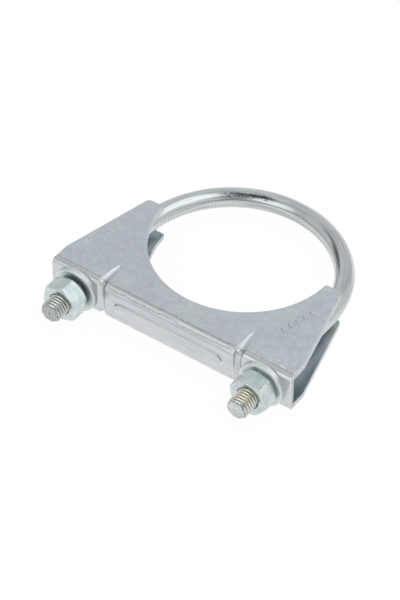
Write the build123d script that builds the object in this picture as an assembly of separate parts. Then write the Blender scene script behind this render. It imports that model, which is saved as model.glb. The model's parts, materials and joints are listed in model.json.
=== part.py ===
from build123d import *
from math import copysign, cos, radians, sin, sqrt, tan
import os

# Exhaust clamp for an 85 mm pipe: a round U-bolt, a pressed channel saddle, two washers and two nuts.
# Millimetres. The origin is the centre of the bow at mid-height. The pipe runs along Z, the legs
# point along -Y and the saddle's web lies along X.

# U-bolt
bow_radius = 42.5
rod_diameter = 8.8
thread_diameter = 9.8
thread_length = 38.0
leg_free_length = 7.7
point_diameter = 8.0
point_length = 1.1
thread_step_length = 0.6
grip_depth = 0.3

# Saddle: sheet and outline
sheet = 2.5
saddle_height = 19.0
bend_radius = 0.5
end_margin = 13.1
seat_bite = 1.3
seat_offset = 9.0
seat_to_web = 13.6
horn_tip_offset = 8.0
horn_overhang = 2.6
horn_outer_radius = 3.0
horn_inner_radius = 1.2
flange_parallel = 9.8
kink_radius = 6.0
edge_break = 0.4

# Saddle: pressed forms
groove_margin = 12.5
groove_depth = 1.0
groove_tool_radius = 2.2
dart_length = 12.4
dart_end_depth = 0.35
dart_drift = 0.7
panel_proud = 0.8
panel_bend_radius = 2.2
panel_ramp = 5.0
bead_margin = 7.0
bead_height = 7.2
bead_depth = 0.7
bead_wall_angle = 35.0

# Washers and nuts
washer_diameter = 21.0
washer_thickness = 2.5
washer_edge_break = 0.5
hole_clearance = 0.3
nut_across_flats = 16.0
nut_height = 8.4
nut_collar_diameter = 14.6
nut_collar_height = 0.6
nut_chamfer_angle = 30.0
nut_face_diameter = 15.2
nut_mouth_diameter = 10.9
thread_clearance = 0.05
nut_turn_left = 19.0
nut_turn_right = -8.5
nut_gap_left = 1.2
nut_gap_right = 0.0

# Places worked out from the sizes above
rod_radius = rod_diameter / 2
thread_radius = thread_diameter / 2
leg_x = bow_radius + rod_radius
seat_radius = bow_radius - seat_bite
web_y = seat_offset - seat_radius - seat_to_web
web_inner_y = web_y + sheet
washer_front_y = web_y - washer_thickness
nut_front_y = washer_front_y - nut_collar_height - nut_height
leg_end_y = nut_front_y - leg_free_length
thread_start_y = leg_end_y + thread_length
half_length = leg_x + end_margin
half_height = saddle_height / 2
inner_half_height = half_height - sheet
groove_x = leg_x - groove_margin
bead_length = 2 * (groove_x - bead_margin)
hole_radius = thread_radius + hole_clearance

# For the modelling itself: how far cutting bodies reach past the metal, and how near counts as the same place
cut_margin = 5.0
same_place = 0.01


def rod_along_y(x, y_start, y_end, radius):
    """Solid cylinder round the line (x, z=0); y_end is the greater of the two."""
    middle = Plane(origin=(x, (y_start + y_end) / 2, 0), z_dir=(0, 1, 0))
    return middle * Cylinder(radius, y_end - y_start)


def cone_along_y(x, y_start, y_end, radius_start, radius_end):
    """Solid cone frustum round the line (x, z=0); y_end is the greater of the two."""
    middle = Plane(origin=(x, (y_start + y_end) / 2, 0), z_dir=(0, 1, 0))
    return middle * Cone(radius_start, radius_end, y_end - y_start)


def bolt_leg(x):
    """One leg: plain shank, rolled thread of a greater diameter, and a turned point."""
    thread_end_y = leg_end_y + point_length
    shank = rod_along_y(x, thread_start_y + thread_step_length, 0, rod_radius)
    step = cone_along_y(x, thread_start_y, thread_start_y + thread_step_length, thread_radius, rod_radius)
    thread = rod_along_y(x, thread_end_y, thread_start_y, thread_radius)
    point = cone_along_y(x, leg_end_y, thread_end_y, point_diameter / 2, thread_radius)
    return shank + step + thread + point


def u_bolt():
    """Half ring of round rod with two legs; the die has pressed the ring's inside to a narrow flat band."""
    section = Plane.XZ * Pos(leg_x, 0) * Circle(rod_radius)
    bow = revolve(section, Axis.Z, 180)
    grip_radius = bow_radius + grip_depth
    behind = Pos(0, -grip_radius) * Rectangle(2 * grip_radius, 2 * grip_radius)
    half_disc = Plane.XY * Circle(grip_radius) - behind
    grip_tool = extrude(half_disc, rod_diameter, both=True)
    return (bow - grip_tool) + bolt_leg(-leg_x) + bolt_leg(leg_x)


def saddle_outline():
    """Plan of the saddle: parallel ends, sides that taper to the horn tips, and the round pipe seat."""
    horn_x = leg_x + horn_overhang
    back_y = web_y - cut_margin
    kink_y = web_y + flange_parallel
    corners = [
        (-half_length, back_y),
        (-half_length, kink_y),
        (-horn_x, horn_tip_offset),
        (horn_x, horn_tip_offset),
        (half_length, kink_y),
        (half_length, back_y),
    ]
    plan = make_face(Polyline(*corners, close=True)) - Pos(0, seat_offset) * Circle(seat_radius)
    outer = [v for v in plan.vertices() if abs(abs(v.X) - horn_x) < same_place]
    plan = fillet(outer, horn_outer_radius)
    inner = [v for v in plan.vertices() if abs(v.Y - horn_tip_offset) < same_place and abs(v.X) < bow_radius]
    plan = fillet(inner, horn_inner_radius)
    kinks = [v for v in plan.vertices() if abs(v.Y - kink_y) < same_place]
    return fillet(kinks, kink_radius)


def folded_bar(x_reach, back_y, height, corner_radius):
    """Bar along X with two rounded edges at its back face, which reaches past the horn tips."""
    front_y = horn_tip_offset + cut_margin
    section = Rectangle(front_y - back_y, height)
    section = Plane.YZ * Pos((front_y + back_y) / 2, 0) * section
    section = fillet(section.vertices().group_by(Axis.Y)[0], corner_radius)
    return extrude(section, x_reach, both=True)


def groove_path(x):
    """Middle line of the groove's tool: along one flange, round both bends and back along the other flange."""
    bend_y = web_y + bend_radius + sheet
    bend_z = half_height - bend_radius - sheet
    reach = bend_radius + sheet + groove_tool_radius - groove_depth
    dart_x = x - copysign(dart_drift, x)
    dart_z = half_height + groove_tool_radius - dart_end_depth
    upper = [Vector(dart_x, web_y + dart_length, dart_z)]
    for angle in (0, 45, 90):
        turn = radians(angle)
        upper.append(Vector(x, bend_y - reach * sin(turn), bend_z + reach * cos(turn)))
    lower = [Vector(point.X, point.Y, -point.Z) for point in reversed(upper)]
    return upper + lower


def groove_tool(x, radius):
    """Rounded bar that follows the groove."""
    path = groove_path(x)
    from_end = (Align.CENTER, Align.CENTER, Align.MIN)
    tool = Part()
    for start, end in zip(path[:-1], path[1:]):
        run = end - start
        tool += Plane(origin=start, z_dir=run) * Cylinder(radius, run.length, align=from_end)
    for point in path:
        tool += Pos(point) * Sphere(radius)
    return tool


def panel_bar(base_y, back_y, height, corner_radius):
    """Folded bar between the grooves, whose ends slope from the plane base_y out to its back face."""
    front_y = horn_tip_offset + cut_margin
    flat_x = groove_x - panel_ramp
    corners = [
        (-groove_x, front_y),
        (-groove_x, base_y),
        (-flat_x, back_y),
        (flat_x, back_y),
        (groove_x, base_y),
        (groove_x, front_y),
    ]
    plan = extrude(make_face(Polyline(*corners, close=True)), height, both=True)
    return folded_bar(groove_x, back_y, height, corner_radius) & plan


def bead_tool(base_y):
    """Long low oval with sloping walls that stands bead_depth out from the plane base_y, away from the pipe."""
    base = Plane(origin=(0, base_y, 0), x_dir=(1, 0, 0), z_dir=(0, -1, 0))
    return extrude(base * SlotOverall(bead_length, bead_height), bead_depth, taper=bead_wall_angle)


def saddle():
    """Channel pressed from one sheet: every form on its outside is followed inside at the sheet's thickness."""
    plan = extrude(saddle_outline(), half_height, both=True)
    rims = plan.edges().group_by(Axis.Z)[0] + plan.edges().group_by(Axis.Z)[-1]
    plan = chamfer(rims, edge_break)
    long_reach = half_length + cut_margin
    panel_y = web_y - panel_proud
    outside = folded_bar(long_reach, web_y, saddle_height, bend_radius + sheet)
    outside += panel_bar(web_y, panel_y, saddle_height, panel_bend_radius + sheet)
    outside = outside & plan
    inside = folded_bar(long_reach, web_inner_y, 2 * inner_half_height, bend_radius)
    inside += panel_bar(web_inner_y, panel_y + sheet, 2 * inner_half_height, panel_bend_radius)
    body = outside - inside
    for x in (-groove_x, groove_x):
        body += groove_tool(x, groove_tool_radius + sheet) & outside
    for x in (-groove_x, groove_x):
        body -= groove_tool(x, groove_tool_radius)
    body += bead_tool(panel_y)
    body -= bead_tool(panel_y + sheet)
    for x in (-leg_x, leg_x):
        body -= rod_along_y(x, web_y - cut_margin, web_inner_y + cut_margin, hole_radius)
    return body


def washer(x):
    """Thick flat washer with its front edge broken by the blanking die."""
    disc = rod_along_y(x, washer_front_y, web_y, washer_diameter / 2)
    disc = chamfer(disc.edges().group_by(Axis.Y)[0], washer_edge_break)
    return disc - rod_along_y(x, washer_front_y - cut_margin, web_y + cut_margin, hole_radius)


def nut(x, turn, gap):
    """Hexagon nut with chamfered corners, bell-mouthed bore and turned collar, which stands gap off its washer."""
    collar_front_y = nut_front_y + nut_height
    corner_radius = nut_across_flats / sqrt(3)
    place = Plane(origin=(x, collar_front_y, 0), x_dir=(1, 0, 0), z_dir=(0, -1, 0))
    hexagon = extrude(place * Rot(0, 0, turn) * RegularPolygon(corner_radius, 6), nut_height)
    drop = (corner_radius - nut_face_diameter / 2) * tan(radians(nut_chamfer_angle))
    turned = rod_along_y(x, nut_front_y + drop, collar_front_y - drop, corner_radius)
    front_cone = cone_along_y(x, nut_front_y, nut_front_y + drop, nut_face_diameter / 2, corner_radius)
    back_cone = cone_along_y(x, collar_front_y - drop, collar_front_y, corner_radius, nut_face_diameter / 2)
    body = hexagon & (turned + front_cone + back_cone)
    body += rod_along_y(x, collar_front_y, washer_front_y, nut_collar_diameter / 2)
    bore_radius = thread_radius + thread_clearance
    mouth_radius = nut_mouth_diameter / 2
    mouth_depth = mouth_radius - bore_radius
    body -= rod_along_y(x, nut_front_y - cut_margin, web_y, bore_radius)
    body -= cone_along_y(x, nut_front_y, nut_front_y + mouth_depth, mouth_radius, bore_radius)
    body -= cone_along_y(x, washer_front_y - mouth_depth, washer_front_y, bore_radius, mouth_radius)
    return Pos(0, -gap, 0) * body


os.makedirs("parts", exist_ok=True)
nodes = {
    "u_bolt": u_bolt(),
    "saddle": saddle(),
    "washer_left": washer(-leg_x),
    "washer_right": washer(leg_x),
    "nut_left": nut(-leg_x, nut_turn_left, nut_gap_left),
    "nut_right": nut(leg_x, nut_turn_right, nut_gap_right),
}
for name, shape in nodes.items():
    export_step(shape, f"parts/{name}.step")
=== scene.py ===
"""Looks of a zinc-plated exhaust clamp: its U-bolt with rolled threads and a serrated grip band, raised
marks, the plating of each piece, and the plain studio round it. Metres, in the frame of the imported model."""
import json
import math

import bmesh
import bpy
from mathutils import Matrix, Vector


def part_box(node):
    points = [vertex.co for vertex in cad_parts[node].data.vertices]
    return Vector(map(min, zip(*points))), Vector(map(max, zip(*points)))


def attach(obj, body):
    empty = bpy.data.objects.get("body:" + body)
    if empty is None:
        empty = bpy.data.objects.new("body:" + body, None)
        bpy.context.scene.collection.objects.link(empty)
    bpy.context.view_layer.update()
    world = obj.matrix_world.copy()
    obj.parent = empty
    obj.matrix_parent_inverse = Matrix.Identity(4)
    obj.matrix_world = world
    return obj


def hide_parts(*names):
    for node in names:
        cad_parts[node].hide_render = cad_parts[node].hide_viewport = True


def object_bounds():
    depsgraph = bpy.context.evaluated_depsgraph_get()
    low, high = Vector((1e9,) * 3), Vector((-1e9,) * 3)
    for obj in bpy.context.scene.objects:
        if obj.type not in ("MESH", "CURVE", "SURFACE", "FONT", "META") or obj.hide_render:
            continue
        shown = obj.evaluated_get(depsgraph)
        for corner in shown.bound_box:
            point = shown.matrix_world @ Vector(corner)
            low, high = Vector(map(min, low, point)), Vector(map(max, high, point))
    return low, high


MM = 0.001

# Camera, worked out from the clamp's outline in the photograph; angles in degrees
PHOTO_HEIGHT_PX = 600
CAMERA_FOCAL_PX = 2434.6
CAMERA_AZIMUTH = 35.38
CAMERA_ELEVATION = 44.04
CAMERA_ROLL = 0.27
CAMERA_DISTANCE = 1010.2 * MM
CAMERA_TARGET = Vector((-1.1 * MM, -22.1 * MM, 0))
CAMERA_CLIP_START = 10 * MM
SENSOR_MM = 36.0

# Meshes
ROUND_STEPS = 48
SMOOTH_ANGLE = math.radians(50)
WELD = 0.001 * MM
TENTH_OF_MM_DIGITS = 4

# Thread, and its profile over one turn from root to root: share of the pitch, share of the depth
THREAD_LENGTH = 38.0 * MM
THREAD_DEPTH = 0.9 * MM
THREAD_RUN_OUT = 2.2 * MM
THREAD_PROFILE = ((0.0, 0.0), (0.12, 0.03), (0.42, 0.95), (0.5, 1.0), (0.58, 0.95), (0.88, 0.03))

# Ends of the legs, which parting off has left with rings, and how much painted shade a ring's crest and its trough
# take
LEFT, RIGHT = -1, 1
POINT_RADIUS = 4.0 * MM
POINT_LENGTH = 1.1 * MM
TURNING_PITCH = 1.3 * MM
TURNING_DEPTH = {LEFT: 0.16 * MM, RIGHT: 0.02 * MM}
CREST_AND_TROUGH_SHADE = {LEFT: (0.3, 1.0), RIGHT: (0.0, 0.1)}

# Grip band inside the bow. The profile is one tooth's, in shares of its depth; the painted shade in the teeth
# grows over a span of turn in radians
GRIP_DEPTH = 0.3 * MM
GRIP_FADE = 9.0 * MM
TOOTH_PITCH = 1.5 * MM
TOOTH_DEPTH = 0.12 * MM
TOOTH_PROFILE = (0.0, 0.0, 1.0, 0.6)
TOOTH_SHADE = (0.34, 0.75)
TOOTH_SHADE_TURN = (2.3, 2.9)

# Raised marks on the right horn: a row of low diamonds, and their section as share of reach, share of height
MARK_START = Vector((42.2 * MM, -24.6 * MM))
MARK_STEP = Vector((1.0 * MM, 3.7 * MM))
MARK_COUNT = 5
MARK_LENGTH = 3.2 * MM
MARK_WIDTH = 2.8 * MM
MARK_AXIS = Vector((0.96, -0.28))
MARK_HEIGHT = 0.55 * MM
MARK_PROFILE = ((1.0, -0.1), (0.95, 0.1), (0.6, 0.9), (0.45, 1.0))

# Saddle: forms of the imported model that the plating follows
PANEL_PROUD = 0.8 * MM
PANEL_START = 34.4 * MM
PANEL_RAMP = 5.0 * MM
BEAD_REACH = 23.8 * MM
BEAD_RADIUS = 3.6 * MM

# Names below that end in: PLACE is a middle and half a width; FADE is where something starts and where it is
# full; TINTS are a pale and a deep colour; GLOSS is the least and the greatest roughness; NOISE is a scale in
# features per metre and a detail; CLOUDS is such a scale alone; SPAN is the part of a value's range that is
# used; SHARE is how strongly one colour covers another; DRAWN is how much noise is drawn out along the metal,
# less being longer; GRAIN is the strength of the fine bumps

# Every plating
PLACE_CORE = 0.6
NOISE_SPAN = (0.3, 0.7)
CLOUD_DETAIL = 2.0
CLOUD_SPAN = (0.38, 0.62)
FINE_CLOUD_RATIO = 6
FINE_CLOUD_DETAIL = 4.0
FINE_CLOUD_LEVELS = (0.93, 1.07)
STRIPE_NOISE = (700, 4.0)
STRIPE_SPAN = (0.35, 0.6)
STRIPE_LEAST = 0.4
EDGE_RADIUS = 0.5 * MM
EDGE_SAMPLES = 8
EDGE_SPAN = (0.995, 0.90)
COARSE_GRAIN_NOISE = (420, 2.0)
COARSE_GRAIN_HEIGHT = 0.05 * MM
COARSE_GRAIN_RATIO = 0.5
FINE_GRAIN_NOISE = (2600, 3.0)
FINE_GRAIN_HEIGHT = 0.01 * MM

# Plating of the sheet. Places and fades are distances forward of the web's face, except that X and Z name an
# axis, DEPTH is depth below a flange's face, and the bead's painted shade line is placed outward from its foot
SHEET_TINTS = ((0.59, 0.635, 0.66), (0.575, 0.60, 0.655))
SHEET_CLOUDS = 80
SHEET_GRAIN = 0.6
SHEET_GLOSS = (0.30, 0.42)
SHEET_GLOSS_NOISE = (260, 5.0)
# Painted highlight on the sheet's edges
SHEET_EDGE_HIGHLIGHT_TINT = (0.86, 0.88, 0.88)
SHEET_EDGE_HIGHLIGHT_SHARE = 0.6
WEB_TINTS = ((0.63, 0.64, 0.65), (0.575, 0.605, 0.645))
WEB_CLOUDS = 120
WEB_DRAWN = 0.15
WEB_GLOSS = (0.18, 0.28)
WEB_FADE = (2.2 * MM, 0.8 * MM)
FOLD_WANDER = 0.3 * MM
FOLD_WANDER_NOISE = (120, 3.0)
# Painted highlight: a pale band along the bend; the fold lines beside it are painted shade
BEND_HIGHLIGHT_PLACE = (2.1 * MM, 0.7 * MM)
BEND_HIGHLIGHT_TINT = (0.68, 0.66, 0.63)
BEND_HIGHLIGHT_SHARE = 0.55
FOLD_SHADE_PLACES = ((2.9 * MM, 0.5 * MM), (1.3 * MM, 0.35 * MM))
FOLD_SHADE_TINT = (0.38, 0.35, 0.31)
FOLD_SHADE_SHARE = 1.0
FLECK_PLACE = (5.0 * MM, 5.0 * MM)
FLECK_FADE_X = (34 * MM, 56 * MM)
FLECK_NOISE = (800, 2.0)
FLECK_DRAWN = 0.6
FLECK_SPAN = (0.62, 0.70)
FLECK_TINT = (0.86, 0.89, 0.90)
# Painted shade: a dark line along the upper edge of the web's bead
BEAD_SHADE_PLACE = (-0.1 * MM, 0.55 * MM)
BEAD_SHADE_FADE = (0.6 * MM, 0.4 * MM)
BEAD_SHADE_FADE_Z = (0.0, 2.0 * MM)
BEAD_SHADE_TINT = (0.40, 0.39, 0.38)
BEAD_SHADE_SHARE = 0.8
# Painted shade on the channel's inner faces
INSIDE_FADE = (1.2 * MM, 1.6 * MM)
INSIDE_FADE_DEPTH = (1.84 * MM, 2.3 * MM)
INSIDE_SHADE_TINTS = ((0.54, 0.60, 0.62), (0.42, 0.48, 0.51))
INSIDE_SHADE_CLOUDS = 110

# Plating of washers and nuts
WASHER_TINTS = ((0.70, 0.75, 0.75), (0.60, 0.66, 0.665))
WASHER_GLOSS = (0.37, 0.48)
WASHER_RING_PITCH = 1.1 * MM
NUT_TINTS = ((0.62, 0.685, 0.69), (0.50, 0.57, 0.59))
NUT_GLOSS = (0.15, 0.26)
NUT_RING_PITCH = 0.9 * MM
RING_HEIGHT = 0.008 * MM
RING_STRENGTH = 0.5
TURNED_CLOUDS = 230
TURNED_GRAIN = 0.5
TURNED_GLOSS_NOISE = (480, 5.0)
# Painted highlight on the edges of washers and nuts
TURNED_EDGE_HIGHLIGHT_TINT = (0.95, 0.97, 0.96)
TURNED_EDGE_HIGHLIGHT_SHARE = 0.9

# Plating of the U-bolt: drawn streaks, a pitted place on the bow with a painted dark reflection, a warm tint near
# the legs' ends, and painted shade in the hollows
BOLT_TINTS = ((0.64, 0.68, 0.69), (0.555, 0.58, 0.585))
BOLT_CLOUDS = 160
BOLT_DRAWN = 0.06
BOLT_GRAIN = 0.22
BOLT_GLOSS = (0.08, 0.17)
BOLT_GLOSS_NOISE = (700, 5.0)
STREAK_NOISE = (900, 4.0)
STREAK_SPAN = (0.47, 0.62)
STREAK_TINT = (0.375, 0.395, 0.40)
STREAK_SHARE = 0.65
STREAK_HEIGHT = 0.02 * MM
STREAK_STRENGTH = 0.35
# The pitted place on top of the bow: speckled pitting with a painted dark reflection, on the upper side only
BOW_DARK_PLACE_TURN = (math.radians(117), math.radians(17))
BOW_DARK_PLACE_REACH = (44.6 * MM, 1.3 * MM)
BOW_DARK_FADE_Z = (0.0, 2.0 * MM)
BOW_DARK_NOISE = (1500, 4.0)
BOW_DARK_DRAWN = 0.45
BOW_DARK_SPAN = (0.44, 0.56)
BOW_DARK_TINT = (0.13, 0.12, 0.14)
BOW_DARK_SHARE = 0.8
WARM_FADES_FROM_END = ((9 * MM, 6 * MM), (0.8 * MM, 3.0 * MM))
WARM_FADE_X = (-90 * MM, 50 * MM)
WARM_FADE_Z = (-1.0 * MM, 3.0 * MM)
WARM_TINT = (0.76, 0.71, 0.57)
# Painted shade in the hollows of the thread, the teeth and the end rings, deeper where the hollow is deeper
HOLLOW_SHADE_SPAN = (0.1, 1.0)
HOLLOW_SHADE_TINT = (0.23, 0.23, 0.21)
HOLLOW_SHADE_SHARE = 0.62

# Studio. A wall is its azimuth, elevation and reach in degrees and how much paler than the surround it is, or
# darker where that is negative; a lamp is its azimuth, elevation, distance, size and power
FLOOR_SIZE = 6.0
FLOOR_WHITE = 0.86
FLOOR_ROUGHNESS = 0.9
FLOOR_GLOW = 0.94
FLOOR_GLOW_LEVEL = 1.02
SURROUND_LEVEL = 0.78
SURROUND_TINT = (0.97, 0.99, 1.0)
WALLS = (
    (75, 55, 48, 0.30),
    (-172, 32, 26, 0.22),
    (-83, 20, 17, -0.62),
    (-84, 40, 14, -0.45),
    (147, 22, 17, -0.42),
    (147, 50, 17, -0.38),
    (177, 75, 22, -0.68),
    (-15, 0, 30, 0.12),
)
LAMPS = {
    "key_lamp": (70, 62, 0.9, 0.8, 1.0),
    "front_lamp": (190, 35, 1.0, 0.7, 0.6),
}

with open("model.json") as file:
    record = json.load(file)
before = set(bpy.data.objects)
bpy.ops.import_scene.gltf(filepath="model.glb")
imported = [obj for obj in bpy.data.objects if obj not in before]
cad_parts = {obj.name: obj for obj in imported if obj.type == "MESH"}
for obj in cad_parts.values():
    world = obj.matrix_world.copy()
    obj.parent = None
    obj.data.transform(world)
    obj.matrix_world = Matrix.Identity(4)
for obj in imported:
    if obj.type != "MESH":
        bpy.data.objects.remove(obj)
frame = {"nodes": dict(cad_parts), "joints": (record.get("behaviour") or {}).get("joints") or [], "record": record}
cad_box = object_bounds()
joints = {joint["name"]: joint for joint in frame["joints"]}
leg_x = joints["nut_right_turn"]["pos_m"][0]


def new_object(name, bm):
    """Object from a bmesh, smooth except where faces meet at more than the smooth angle."""
    bmesh.ops.recalc_face_normals(bm, faces=bm.faces)
    for edge in bm.edges:
        edge.smooth = edge.calc_face_angle(0.0) < SMOOTH_ANGLE
    for face in bm.faces:
        face.smooth = True
    mesh = bpy.data.meshes.new(name)
    bm.to_mesh(mesh)
    bm.free()
    piece = bpy.data.objects.new(name, mesh)
    bpy.context.scene.collection.objects.link(piece)
    return piece


def smoothstep(value, start, end):
    """0 before start, 1 after end and an even curve between."""
    t = min(max((value - start) / (end - start), 0.0), 1.0)
    return t * t * (3 - 2 * t)


# U-bolt


class Bolt:
    """Sizes of the U-bolt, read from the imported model, and the mesh that is built from them."""

    def __init__(self):
        low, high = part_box("u_bolt")
        turn_per_metre = frame["record"]["behaviour"]["couplings"][0]["ratio"]
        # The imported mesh's facets end a little inside the bow, so the radius is rounded to a tenth of a mm
        self.rod = round(high.y - leg_x, TENTH_OF_MM_DIGITS)
        self.thread = high.z
        self.pitch = 2 * math.pi / turn_per_metre
        self.end_y = low.y
        self.thread_top = self.end_y + THREAD_LENGTH
        self.grip = leg_x - self.rod + GRIP_DEPTH
        self.bm = bmesh.new()
        self.hollow = self.bm.verts.layers.float.new("hollow")

    def point(self, place, hollow):
        """New vertex with how much painted shade it takes for lying in a hollow, from 0 to 1."""
        vertex = self.bm.verts.new(place)
        vertex[self.hollow] = hollow
        return vertex

    def ring_angles(self):
        """Angles round the rod's section."""
        return [2 * math.pi * i / ROUND_STEPS for i in range(ROUND_STEPS)]


def run_out(bolt, y):
    """How far the thread has run out at y: 0 where it is full, 1 where the rod is plain."""
    return smoothstep(y, bolt.thread_top - THREAD_RUN_OUT, bolt.thread_top)


def thread_radius(bolt, y, height):
    """Radius of the thread at y for a profile height of 0 to 1, with its run-out and its chamfered point."""
    cut = bolt.thread - THREAD_DEPTH * (1 - height)
    radius = cut + (bolt.rod - cut) * run_out(bolt, y)
    slope = (bolt.thread - POINT_RADIUS) / POINT_LENGTH
    return min(radius, POINT_RADIUS + (y - bolt.end_y) * slope)


def leg_rows(bolt, side):
    """Rows of points up one leg that climb with the right-hand thread; points past an end lie on that end."""
    # One turn more past either end, for the rows that climb in from there
    turns = math.ceil(THREAD_LENGTH / bolt.pitch) + 2
    rows = []
    for turn in range(turns):
        for share, height in THREAD_PROFILE:
            row = []
            for i, angle in enumerate(bolt.ring_angles()):
                y = bolt.end_y + (turn - 1 + share + side * i / ROUND_STEPS) * bolt.pitch
                y = min(max(y, bolt.end_y), bolt.thread_top)
                radius = thread_radius(bolt, y, height)
                x = side * (leg_x + radius * math.sin(angle))
                hollow = (1 - height) * (1 - run_out(bolt, y))
                row.append(bolt.point((x, y, radius * math.cos(angle)), hollow))
            rows.append(row)
    return rows


def bow_rows(bolt):
    """Rings round the bow, whose inside is a flat band with teeth across it."""
    teeth = round(math.pi * bolt.grip / TOOTH_PITCH)
    steps = teeth * len(TOOTH_PROFILE)
    # Painted shade in the teeth's grooves, stronger towards the left end of the bow
    least_shade, most_shade = TOOTH_SHADE
    rows = []
    for k in range(steps + 1):
        turn = math.pi * k / steps
        from_end = bolt.grip * min(turn, math.pi - turn)
        fade = smoothstep(from_end, 0, GRIP_FADE)
        shade_amount = least_shade + (most_shade - least_shade) * smoothstep(turn, *TOOTH_SHADE_TURN)
        cut = TOOTH_PROFILE[k % len(TOOTH_PROFILE)] * fade
        band = leg_x - bolt.rod + GRIP_DEPTH * fade + TOOTH_DEPTH * cut
        row = []
        for angle in bolt.ring_angles():
            reach = leg_x + bolt.rod * math.sin(angle)
            hollow = shade_amount * cut if reach < band else 0.0
            reach = max(reach, band)
            place = (reach * math.cos(turn), reach * math.sin(turn), bolt.rod * math.cos(angle))
            row.append(bolt.point(place, hollow))
        rows.append(row)
    return rows


def skin(bm, rows, climb=0):
    """Faces between neighbouring rows; a row's last point meets the first point of the row climb rows on."""
    for j in range(len(rows) - 1):
        lower, upper = rows[j], rows[j + 1]
        for i in range(ROUND_STEPS - 1):
            bm.faces.new((lower[i], lower[i + 1], upper[i + 1], upper[i]))
        if 0 <= j + climb < len(rows) - 1:
            bm.faces.new((lower[-1], rows[j + climb][0], rows[j + climb + 1][0], upper[-1]))


def end_disc(bolt, side):
    """End of a leg with the shallow rings that parting it off has left."""
    # Two rings a pitch, a crest and a trough
    count = round(POINT_RADIUS / TURNING_PITCH) * 2
    # Painted shade for a ring's crest and its trough
    shade_amount = CREST_AND_TROUGH_SHADE[side]
    rings = []
    for k in range(count):
        radius = POINT_RADIUS * (1 - k / count)
        trough = k % 2
        ring = []
        for angle in bolt.ring_angles():
            x = side * (leg_x + radius * math.sin(angle))
            place = (x, bolt.end_y + trough * TURNING_DEPTH[side], radius * math.cos(angle))
            ring.append(bolt.point(place, shade_amount[trough]))
        rings.append(ring)
    skin(bolt.bm, rings)
    bolt.bm.faces.new(rings[-1])


def u_bolt_piece():
    """The whole U-bolt as one closed skin."""
    bolt = Bolt()
    turn_rows = len(THREAD_PROFILE)
    right = leg_rows(bolt, RIGHT)
    left = leg_rows(bolt, LEFT)
    skin(bolt.bm, right, turn_rows)
    skin(bolt.bm, left, -turn_rows)
    skin(bolt.bm, [right[-1]] + bow_rows(bolt) + [left[-1]])
    end_disc(bolt, RIGHT)
    end_disc(bolt, LEFT)
    bmesh.ops.remove_doubles(bolt.bm, verts=bolt.bm.verts, dist=WELD)
    bmesh.ops.dissolve_degenerate(bolt.bm, edges=bolt.bm.edges, dist=WELD)
    piece = new_object("threaded_u_bolt", bolt.bm)
    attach(piece, "u_bolt")
    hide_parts("u_bolt")
    return piece


# Raised marks


def diamond_ring(bm, middle, share, z):
    """Points round one diamond at share of its reach."""
    side_axis = Vector((-MARK_AXIS.y, MARK_AXIS.x))
    ring = []
    for i in range(ROUND_STEPS):
        angle = 2 * math.pi * i / ROUND_STEPS
        along, across = math.cos(angle), math.sin(angle)
        reach = share / (abs(along) + abs(across)) / 2
        offset = MARK_AXIS * reach * along * MARK_LENGTH + side_axis * reach * across * MARK_WIDTH
        ring.append(bm.verts.new((*(middle + offset), z)))
    return ring


def raised_marks():
    """A row of plain diamonds on the right horn, where the real sheet carries a stamp."""
    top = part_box("saddle")[1].z
    bm = bmesh.new()
    for k in range(MARK_COUNT):
        middle = MARK_START + MARK_STEP * k
        rings = []
        for share, height in MARK_PROFILE:
            rings.append(diamond_ring(bm, middle, share, top + height * MARK_HEIGHT))
        skin(bm, rings)
        bm.faces.new(rings[-1])
        bm.faces.new(rings[0])
    piece = new_object("raised_marks", bm)
    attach(piece, "saddle")
    return piece


# Materials


def node(tree, kind, **settings):
    """New shader node with its properties set."""
    made = tree.nodes.new(kind)
    for key, value in settings.items():
        setattr(made, key, value)
    return made


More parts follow.
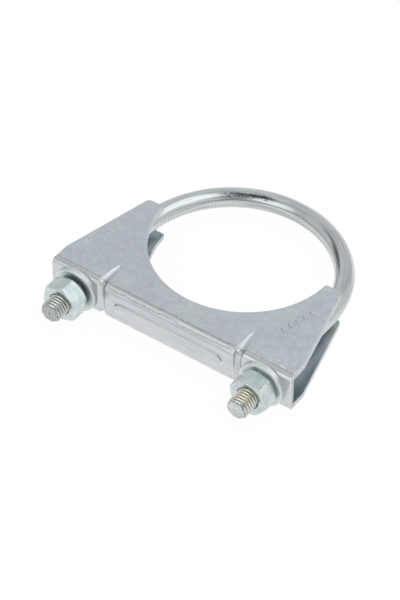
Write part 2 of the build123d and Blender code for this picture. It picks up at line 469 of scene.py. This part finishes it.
class Plate:
    """A zinc-plated material under way: its node tree and short calls for the nodes that it is made of."""

    def __init__(self, name):
        self.material = bpy.data.materials.new(name)
        self.material.use_nodes = True
        self.tree = self.material.node_tree
        self.shader = self.tree.nodes["Principled BSDF"]
        self.shader.inputs["Metallic"].default_value = 1.0
        self.place = node(self.tree, "ShaderNodeTexCoord").outputs["Object"]
        split = node(self.tree, "ShaderNodeSeparateXYZ")
        self.link(self.place, split.inputs["Vector"])
        self.x, self.y, self.z = split.outputs

    def link(self, source, target):
        """Link from an output to an input."""
        self.tree.links.new(source, target)

    def math(self, operation, first, second=None):
        """Math node; each operand is a number or a socket."""
        made = node(self.tree, "ShaderNodeMath", operation=operation)
        for socket, value in zip(made.inputs, (first, second)):
            if isinstance(value, (int, float)):
                socket.default_value = value
            elif value is not None:
                self.link(value, socket)
        return made.outputs[0]

    def product(self, first, *others):
        """Product of sockets and numbers."""
        total = first
        for factor in others:
            total = self.math("MULTIPLY", total, factor)
        return total

    def length(self, first, second):
        """Length of the vector with these two parts."""
        squares = self.math("ADD", self.product(first, first), self.product(second, second))
        return self.math("SQRT", squares)

    def joined(self, *sockets):
        """Vector of three sockets."""
        vector = node(self.tree, "ShaderNodeCombineXYZ")
        for source, target in zip(sockets, vector.inputs):
            self.link(source, target)
        return vector.outputs["Vector"]

    def ramp(self, value, low, high, to_low=0.0, to_high=1.0):
        """Value mapped from one span to another, clamped."""
        span = node(self.tree, "ShaderNodeMapRange")
        span.inputs["From Min"].default_value = low
        span.inputs["From Max"].default_value = high
        span.inputs["To Min"].default_value = to_low
        span.inputs["To Max"].default_value = to_high
        self.link(value, span.inputs["Value"])
        return span.outputs["Result"]

    def near(self, value, place, core=PLACE_CORE):
        """0 outside place and 1 in its core, which is given as a share of its width."""
        middle, half_width = place
        off = self.math("ABSOLUTE", self.math("SUBTRACT", value, middle))
        return self.ramp(off, half_width, core * half_width)

    def blend(self, factor, first, second, blend_type="MIX"):
        """Colour between first and second, each a colour or a socket, by factor, a number or a socket."""
        mix = node(self.tree, "ShaderNodeMix", data_type="RGBA", blend_type=blend_type)
        if isinstance(factor, float):
            mix.inputs["Factor"].default_value = factor
        else:
            self.link(factor, mix.inputs["Factor"])
        for socket, colour in ((mix.inputs["A"], first), (mix.inputs["B"], second)):
            if isinstance(colour, tuple):
                socket.default_value = (*colour, 1)
            else:
                self.link(colour, socket)
        return mix.outputs["Result"]

    def bump(self, height, distance, strength, normal=None):
        """Bump from a height socket, on top of another normal where one is given."""
        made = node(self.tree, "ShaderNodeBump")
        made.inputs["Distance"].default_value = distance
        made.inputs["Strength"].default_value = strength
        self.link(height, made.inputs["Height"])
        if normal:
            self.link(normal, made.inputs["Normal"])
        return made.outputs["Normal"]

    def noise(self, scale, detail, place=None):
        """Noise over the object's own coordinates or over place."""
        texture = node(self.tree, "ShaderNodeTexNoise")
        texture.inputs["Scale"].default_value = scale
        texture.inputs["Detail"].default_value = detail
        self.link(place or self.place, texture.inputs["Vector"])
        return texture.outputs["Fac"]

    def along_sheet(self, stretch):
        """Place with its x shortened by stretch, which draws noise out along the saddle."""
        return self.joined(self.product(self.x, stretch), self.y, self.z)

    def along_rod(self, stretch):
        """Place on the U-bolt: distance from its centre, height, and way along the rod times stretch."""
        ahead = self.math("MAXIMUM", self.y, 0.0)
        bow = self.product(self.math("ARCTAN2", ahead, self.x), leg_x)
        way = self.math("ADD", bow, self.math("MINIMUM", self.y, 0.0))
        return self.joined(self.length(self.x, ahead), self.z, self.product(way, stretch))

    def from_leg(self):
        """Distance from the nearer leg's axis."""
        return self.length(self.math("SUBTRACT", self.math("ABSOLUTE", self.x), leg_x), self.z)

    def edges(self):
        """Normal that rounds the edges, and how near an edge the surface is, from 0 to 1."""
        rounded = node(self.tree, "ShaderNodeBevel")
        rounded.samples = EDGE_SAMPLES
        rounded.inputs["Radius"].default_value = EDGE_RADIUS
        true = node(self.tree, "ShaderNodeNewGeometry")
        facing = node(self.tree, "ShaderNodeVectorMath", operation="DOT_PRODUCT")
        self.link(rounded.outputs["Normal"], facing.inputs[0])
        self.link(true.outputs["Normal"], facing.inputs[1])
        return rounded.outputs["Normal"], self.ramp(facing.outputs["Value"], *EDGE_SPAN)

    def cloudy(self, tints, scale, place=None):
        """Colour that wanders between a pale and a deep tint, with finer, weaker clouds over it."""
        pale, deep = tints
        wide = self.ramp(self.noise(scale, CLOUD_DETAIL, place), *CLOUD_SPAN)
        fine_noise = self.noise(FINE_CLOUD_RATIO * scale, FINE_CLOUD_DETAIL, place)
        fine = self.ramp(fine_noise, *NOISE_SPAN, *FINE_CLOUD_LEVELS)
        return self.blend(1.0, self.blend(wide, deep, pale), fine, "MULTIPLY")

    def stripe(self, across, place, share, under, colour):
        """Broken soft stripe over the colour under it."""
        broken = self.ramp(self.noise(*STRIPE_NOISE), *STRIPE_SPAN, STRIPE_LEAST * share, share)
        return self.blend(self.product(self.near(across, place, core=0.0), broken), under, colour)

    def finish(self, colour, roughness, normal, grain):
        """Links the colour and gloss, and adds the fine orange peel of plated steel."""
        coarse_noise = self.noise(*COARSE_GRAIN_NOISE)
        coarse = self.bump(coarse_noise, COARSE_GRAIN_HEIGHT, COARSE_GRAIN_RATIO * grain, normal)
        fine = self.bump(self.noise(*FINE_GRAIN_NOISE), FINE_GRAIN_HEIGHT, grain, coarse)
        self.link(colour, self.shader.inputs["Base Color"])
        self.link(roughness, self.shader.inputs["Roughness"])
        self.link(fine, self.shader.inputs["Normal"])
        return self.material


def forward_of_web(plate):
    """Distance forward of the web's face, which lies further back on the raised panel."""
    web_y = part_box("washer_left")[1].y
    along = plate.math("ABSOLUTE", plate.x)
    panel = plate.ramp(along, PANEL_START, PANEL_START - PANEL_RAMP, 0.0, PANEL_PROUD)
    return plate.math("SUBTRACT", plate.math("ADD", plate.y, panel), web_y)


def fold_highlight_shade_and_flecks(plate, colour, from_web):
    """Painted highlight and painted shade lines along the folds, and bright flecks towards the right end."""
    wander = plate.ramp(plate.noise(*FOLD_WANDER_NOISE), *NOISE_SPAN, -FOLD_WANDER, FOLD_WANDER)
    along_fold = plate.math("ADD", from_web, wander)
    # Painted highlight along the bend, then painted shade lines beside it
    colour = plate.stripe(along_fold, BEND_HIGHLIGHT_PLACE, BEND_HIGHLIGHT_SHARE, colour, BEND_HIGHLIGHT_TINT)
    for place in FOLD_SHADE_PLACES:
        colour = plate.stripe(along_fold, place, FOLD_SHADE_SHARE, colour, FOLD_SHADE_TINT)
    specks = plate.ramp(plate.noise(*FLECK_NOISE, plate.along_sheet(FLECK_DRAWN)), *FLECK_SPAN)
    right_end = plate.ramp(plate.x, *FLECK_FADE_X)
    flecks = plate.product(plate.near(from_web, FLECK_PLACE), specks, right_end)
    return plate.blend(flecks, colour, FLECK_TINT)


def bead_shade_line(plate, colour, from_web):
    """Painted shade: a dark line round the upper half of the web's long bead."""
    along = plate.math("ABSOLUTE", plate.x)
    past_bead = plate.math("MAXIMUM", plate.math("SUBTRACT", along, BEAD_REACH), 0.0)
    from_foot = plate.math("SUBTRACT", plate.length(past_bead, plate.z), BEAD_RADIUS)
    lined = plate.stripe(from_foot, BEAD_SHADE_PLACE, BEAD_SHADE_SHARE, colour, BEAD_SHADE_TINT)
    upper = plate.ramp(plate.z, *BEAD_SHADE_FADE_Z)
    return plate.blend(plate.product(upper, plate.ramp(from_web, *BEAD_SHADE_FADE)), colour, lined)


def inside_shade(plate, colour, from_web):
    """Painted shade on the channel's inner faces: a darker, cloudy colour."""
    half_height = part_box("saddle")[1].z
    start, full = INSIDE_FADE_DEPTH
    height = plate.math("ABSOLUTE", plate.z)
    below_flange = plate.ramp(height, half_height - start, half_height - full)
    inside = plate.product(below_flange, plate.ramp(from_web, *INSIDE_FADE))
    return plate.blend(inside, colour, plate.cloudy(INSIDE_SHADE_TINTS, INSIDE_SHADE_CLOUDS))


def sheet_plate():
    """Satin sheet with a glossier, drawn web, painted highlight and shade along the folds and the bead, painted
    shade inside the channel, and a painted highlight on the edges.
    """
    plate = Plate("plated_sheet")
    from_web = forward_of_web(plate)
    web = plate.ramp(from_web, *WEB_FADE)
    rounded, edge = plate.edges()
    pressed = plate.cloudy(WEB_TINTS, WEB_CLOUDS, plate.along_sheet(WEB_DRAWN))
    colour = plate.blend(web, plate.cloudy(SHEET_TINTS, SHEET_CLOUDS), pressed)
    colour = fold_highlight_shade_and_flecks(plate, colour, from_web)
    colour = bead_shade_line(plate, colour, from_web)
    colour = inside_shade(plate, colour, from_web)
    # Painted highlight on the edges
    colour = plate.blend(plate.product(edge, SHEET_EDGE_HIGHLIGHT_SHARE), colour, SHEET_EDGE_HIGHLIGHT_TINT)
    gloss_noise = plate.noise(*SHEET_GLOSS_NOISE)
    satin = plate.ramp(gloss_noise, *NOISE_SPAN, *SHEET_GLOSS)
    bright = plate.ramp(gloss_noise, *NOISE_SPAN, *WEB_GLOSS)
    satin_part = plate.product(satin, plate.math("SUBTRACT", 1.0, web))
    roughness = plate.math("ADD", satin_part, plate.product(bright, web))
    return plate.finish(colour, roughness, rounded, SHEET_GRAIN)


def turned_plate(name, tints, gloss, ring_pitch):
    """Bright turned or blanked steel with faint rings round the leg and a painted highlight on the edges."""
    plate = Plate(name)
    rounded, edge = plate.edges()
    rings = plate.math("SINE", plate.product(plate.from_leg(), 2 * math.pi / ring_pitch))
    turned = plate.bump(rings, RING_HEIGHT, RING_STRENGTH, rounded)
    # Painted highlight on the edges
    edge_highlight_share = plate.product(edge, TURNED_EDGE_HIGHLIGHT_SHARE)
    colour = plate.blend(edge_highlight_share, plate.cloudy(tints, TURNED_CLOUDS), TURNED_EDGE_HIGHLIGHT_TINT)
    roughness = plate.ramp(plate.noise(*TURNED_GLOSS_NOISE), *NOISE_SPAN, *gloss)
    return plate.finish(colour, roughness, turned, TURNED_GRAIN)


def pits_and_dark_reflection(plate):
    """How dark the bow's pitted place is, pitting with a painted dark reflection over it: in one place on top of
    the bow, in spots drawn along the rod.
    """
    turn = plate.math("ARCTAN2", plate.y, plate.x)
    reach = plate.length(plate.x, plate.y)
    spot_noise = plate.noise(*BOW_DARK_NOISE, plate.along_rod(BOW_DARK_DRAWN))
    spots = plate.ramp(spot_noise, *BOW_DARK_SPAN, 0.0, BOW_DARK_SHARE)
    upper = plate.ramp(plate.z, *BOW_DARK_FADE_Z)
    return plate.product(plate.near(turn, BOW_DARK_PLACE_TURN), plate.near(reach, BOW_DARK_PLACE_REACH), upper, spots)


def warmth(plate):
    """How warm the tint is: on top of the thread near the legs' ends, more on the right leg."""
    from_end = plate.math("SUBTRACT", plate.y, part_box("u_bolt")[0].y)
    lengthwise = plate.product(*(plate.ramp(from_end, *fade) for fade in WARM_FADES_FROM_END))
    return plate.product(lengthwise, plate.ramp(plate.x, *WARM_FADE_X), plate.ramp(plate.z, *WARM_FADE_Z))


def bolt_plate():
    """Smooth rod with drawn streaks, a pitted place with a painted dark reflection, a warm tint near its ends, and
    painted shade in every hollow.
    """
    plate = Plate("plated_bolt")
    hollow = node(plate.tree, "ShaderNodeAttribute", attribute_name="hollow").outputs["Fac"]
    along_rod = plate.along_rod(BOLT_DRAWN)
    drawn = plate.noise(*STREAK_NOISE, along_rod)
    colour = plate.cloudy(BOLT_TINTS, BOLT_CLOUDS, along_rod)
    colour = plate.blend(plate.ramp(drawn, *STREAK_SPAN, 0.0, STREAK_SHARE), colour, STREAK_TINT)
    # Pitting with a painted dark reflection on top of the bow
    colour = plate.blend(pits_and_dark_reflection(plate), colour, BOW_DARK_TINT)
    colour = plate.blend(warmth(plate), colour, WARM_TINT)
    # Painted shade in every hollow
    colour = plate.blend(plate.ramp(hollow, *HOLLOW_SHADE_SPAN, 0.0, HOLLOW_SHADE_SHARE), colour, HOLLOW_SHADE_TINT)
    roughness = plate.ramp(plate.noise(*BOLT_GLOSS_NOISE), *NOISE_SPAN, *BOLT_GLOSS)
    return plate.finish(colour, roughness, plate.bump(drawn, STREAK_HEIGHT, STREAK_STRENGTH), BOLT_GRAIN)


def dress_frame(sheet):
    """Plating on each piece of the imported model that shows."""
    washer = turned_plate("plated_washer", WASHER_TINTS, WASHER_GLOSS, WASHER_RING_PITCH)
    nut = turned_plate("plated_nut", NUT_TINTS, NUT_GLOSS, NUT_RING_PITCH)
    finishes = {
        "saddle": sheet,
        "washer_left": washer,
        "washer_right": washer,
        "nut_left": nut,
        "nut_right": nut,
    }
    for name, material in finishes.items():
        materials = frame["nodes"][name].data.materials
        materials.clear()
        materials.append(material)


# Studio


def white_share(tree):
    """1 for rays from the camera and for those that metal and glass send on."""
    path = node(tree, "ShaderNodeLightPath")
    total = path.outputs["Is Camera Ray"]
    for name in ("Is Glossy Ray", "Is Transmission Ray"):
        joined = node(tree, "ShaderNodeMath", operation="MAXIMUM")
        tree.links.new(total, joined.inputs[0])
        tree.links.new(path.outputs[name], joined.inputs[1])
        total = joined.outputs[0]
    return total


def studio_floor():
    """White table that the clamp lies on; it keeps a share of the clamp's shadow."""
    low_corner = cad_box[0]
    half = FLOOR_SIZE / 2
    bm = bmesh.new()
    corners = ((-half, -half), (half, -half), (half, half), (-half, half))
    bm.faces.new([bm.verts.new((x, y, low_corner[2])) for x, y in corners])
    floor = new_object("studio_floor", bm)
    material = bpy.data.materials.new("studio_white")
    material.use_nodes = True
    tree = material.node_tree
    shader = tree.nodes["Principled BSDF"]
    shader.inputs["Base Color"].default_value = (FLOOR_WHITE, FLOOR_WHITE, FLOOR_WHITE, 1)
    shader.inputs["Roughness"].default_value = FLOOR_ROUGHNESS
    shader.inputs["Specular IOR Level"].default_value = 0.0
    glow = node(tree, "ShaderNodeEmission")
    glow.inputs["Strength"].default_value = FLOOR_GLOW_LEVEL
    share = node(tree, "ShaderNodeMath", operation="MULTIPLY")
    share.inputs[1].default_value = FLOOR_GLOW
    tree.links.new(white_share(tree), share.inputs[0])
    mix = node(tree, "ShaderNodeMixShader")
    tree.links.new(share.outputs[0], mix.inputs["Fac"])
    tree.links.new(shader.outputs["BSDF"], mix.inputs[1])
    tree.links.new(glow.outputs["Emission"], mix.inputs[2])
    tree.links.new(mix.outputs["Shader"], tree.nodes["Material Output"].inputs["Surface"])
    floor.data.materials.append(material)


def direction(azimuth, elevation):
    """Unit vector; azimuth 0 is +Y and 90 is +X, in degrees."""
    a, e = math.radians(azimuth), math.radians(elevation)
    return math.sin(a) * math.cos(e), math.cos(a) * math.cos(e), math.sin(e)


def studio_world():
    """Even pale surround with a few wide paler and darker walls, which the bright plate mirrors."""
    world = bpy.data.worlds.new("studio_world")
    bpy.context.scene.world = world
    world.use_nodes = True
    tree = world.node_tree
    place = node(tree, "ShaderNodeTexCoord")
    level = None
    for azimuth, elevation, reach, strength in WALLS:
        facing = node(tree, "ShaderNodeVectorMath", operation="DOT_PRODUCT")
        facing.inputs[1].default_value = direction(azimuth, elevation)
        tree.links.new(place.outputs["Generated"], facing.inputs[0])
        spot = node(tree, "ShaderNodeMapRange", interpolation_type="SMOOTHSTEP")
        spot.inputs["From Min"].default_value = math.cos(math.radians(reach))
        spot.inputs["From Max"].default_value = 1.0
        spot.inputs["To Max"].default_value = strength
        tree.links.new(facing.outputs["Value"], spot.inputs["Value"])
        total = node(tree, "ShaderNodeMath", operation="ADD")
        total.inputs[1].default_value = SURROUND_LEVEL
        tree.links.new(spot.outputs["Result"], total.inputs[0])
        if level:
            tree.links.new(level, total.inputs[1])
        level = total.outputs[0]
    tree.links.new(level, tree.nodes["Background"].inputs["Strength"])
    tree.nodes["Background"].inputs["Color"].default_value = (*SURROUND_TINT, 1)


def studio_lamps():
    """Two wide soft lamps, one high on the right and one in front."""
    for name, (azimuth, elevation, distance, size, power) in LAMPS.items():
        lamp = bpy.data.lights.new(name, "AREA")
        lamp.size = size
        lamp.energy = power
        towards = Vector(direction(azimuth, elevation))
        holder = bpy.data.objects.new(name, lamp)
        holder.location = towards * distance
        holder.rotation_euler = towards.to_track_quat("Z", "Y").to_euler()
        bpy.context.scene.collection.objects.link(holder)


def studio_camera():
    """Camera at the photograph's viewing angle."""
    azimuth = math.radians(CAMERA_AZIMUTH)
    elevation = math.radians(CAMERA_ELEVATION)
    roll = math.radians(CAMERA_ROLL)
    back = Vector((
        math.sin(azimuth) * math.cos(elevation),
        -math.cos(azimuth) * math.cos(elevation),
        math.sin(elevation),
    ))
    level_right = Vector((math.cos(azimuth), math.sin(azimuth), 0))
    level_up = back.cross(level_right)
    right = level_right * math.cos(roll) + level_up * math.sin(roll)
    up = back.cross(right)
    lens = bpy.data.cameras.new("photo_camera")
    lens.sensor_fit = "VERTICAL"
    lens.sensor_height = SENSOR_MM
    lens.lens = CAMERA_FOCAL_PX / PHOTO_HEIGHT_PX * SENSOR_MM
    lens.clip_start = CAMERA_CLIP_START
    camera = bpy.data.objects.new("photo_camera", lens)
    turn = Matrix((right, up, back)).transposed().to_4x4()
    camera.matrix_world = Matrix.Translation(CAMERA_TARGET + back * CAMERA_DISTANCE) @ turn
    bpy.context.scene.collection.objects.link(camera)
    bpy.context.scene.camera = camera


sheet = sheet_plate()
u_bolt_piece().data.materials.append(bolt_plate())
raised_marks().data.materials.append(sheet)
dress_frame(sheet)
studio_floor()
studio_world()
studio_lamps()
studio_camera()
bpy.context.scene.view_settings.view_transform = "Standard"
